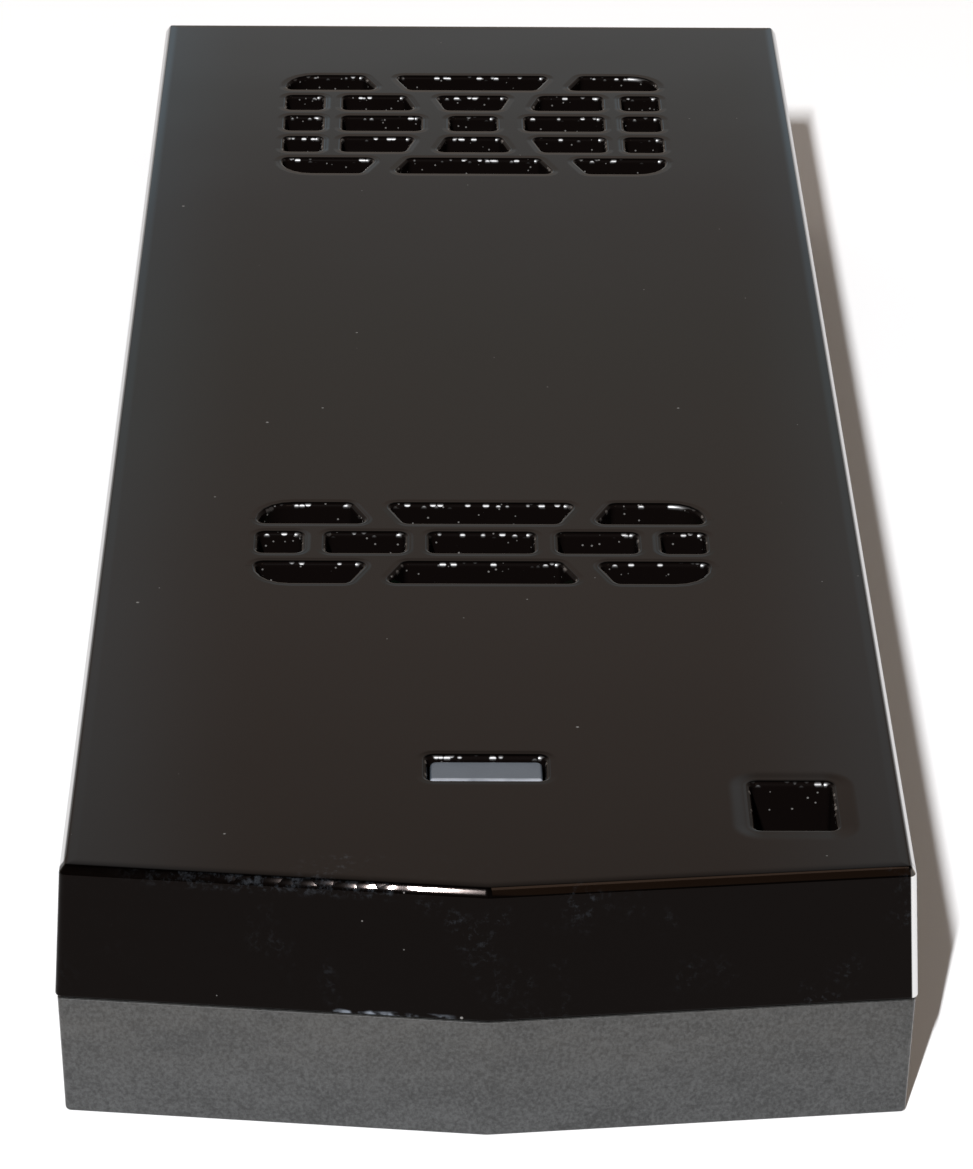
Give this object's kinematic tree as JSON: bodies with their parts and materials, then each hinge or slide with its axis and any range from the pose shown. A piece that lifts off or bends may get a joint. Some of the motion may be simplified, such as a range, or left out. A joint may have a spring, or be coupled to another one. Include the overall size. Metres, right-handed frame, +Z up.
{
  "type": "hdmi stick computer",
  "caption": "Flat stick computer: two clipped covers round a board, blower and heat sink, with a video plug at one end, side sockets and a push button.",
  "frame": {"origin": "on the table, under the middle of the overall box of case and plug", "axes": "+Y from the nose to the plug along the stick, +Z up through the vented top, +X across to the card slot"},
  "size_m": [0.0376, 0.1152, 0.0125],
  "materials": {
    "gloss_black": "high gloss",
    "matte_grey": "fine texture",
    "frosted_pipe": "frosted",
    "button_black": "satin",
    "board_green": "solder mask",
    "screw_steel": "plated",
    "plug_steel": "plated",
    "socket_steel": "plated",
    "black_nylon": "moulded",
    "gold_plate": "plated",
    "switch_grey": "moulded",
    "led_white": "clear resin",
    "chip_green": "laminate",
    "pad_pink": "soft",
    "sink_black": "black anodised",
    "turned_brass": "turned",
    "fan_black": "moulded",
    "fan_steel": "black sheet",
    "magnet_dark": "bonded",
    "stator_steel": "stacked sheet",
    "copper_wire": "enamelled",
    "wire_red": "insulated",
    "header_ivory": "moulded",
    "module_blue": "solder mask",
    "can_steel": "tinned",
    "aerial_film": "film",
    "lead_black": "insulated",
    "chip_black": "moulded",
    "choke_grey": "moulded",
    "capacitor_tan": "fired"
  },
  "bodies": {
    "case": {"top_cover": "gloss_black", "bottom_cover": "matte_grey", "light_pipe": "frosted_pipe", "circuit_board": "board_green", "board_screws": "screw_steel", "plug_shell": "plug_steel", "plug_insulator": "black_nylon", "plug_contacts": "gold_plate", "usb_shell": "socket_steel", "usb_tongue": "black_nylon", "usb_contacts": "gold_plate", "micro_usb_shell": "socket_steel", "micro_usb_tongue": "black_nylon", "micro_usb_contacts": "gold_plate", "card_cage": "socket_steel", "card_base": "black_nylon", "card_contacts": "gold_plate", "switch_body": "switch_grey", "power_led": "led_white", "processor": "chip_green", "thermal_pad": "pad_pink", "heat_sink": "sink_black", "heat_sink_standoffs": "turned_brass", "heat_sink_screws": "screw_steel", "fan_housing": "fan_black", "fan_cover": "fan_steel", "fan_bearing": "turned_brass", "fan_stator": "stator_steel", "fan_coils": "copper_wire", "fan_screws": "screw_steel", "fan_nuts": "turned_brass", "fan_wires": "wire_red", "fan_header": "header_ivory", "wireless_module": "module_blue", "wireless_can": "can_steel", "aerial": "aerial_film", "aerial_jack": "gold_plate", "aerial_lead": "lead_black", "memory_chips": "chip_black", "storage_chip": "chip_black", "power_chip": "chip_black", "power_chokes": "choke_grey", "capacitors": "capacitor_tan", "crystal": "can_steel"},
    "button": {"power_button": "button_black"},
    "switch_plunger": {"switch_plunger": "black_nylon"},
    "fan_rotor": {"fan_impeller": "fan_black", "fan_shaft": "screw_steel", "fan_magnet": "magnet_dark"}
  },
  "joints": [
    {"name": "button_press", "type": "slide", "parent": "case", "child": "button", "axis": [1, 0, 0], "range_m": [0, 0.0003], "stiffness_N_per_m": 800},
    {"name": "plunger_press", "type": "slide", "parent": "case", "child": "switch_plunger", "axis": [1, 0, 0], "range_m": [0, 0.0003]},
    {"name": "fan_spin", "type": "hinge", "parent": "case", "child": "fan_rotor", "pos_m": [0, 0.02975, 0.0085], "axis": [0, 0, 1], "continuous": true}
  ],
  "couplings": [
    {"joint": "plunger_press", "follows": "button_press", "ratio": 1}
  ]
}
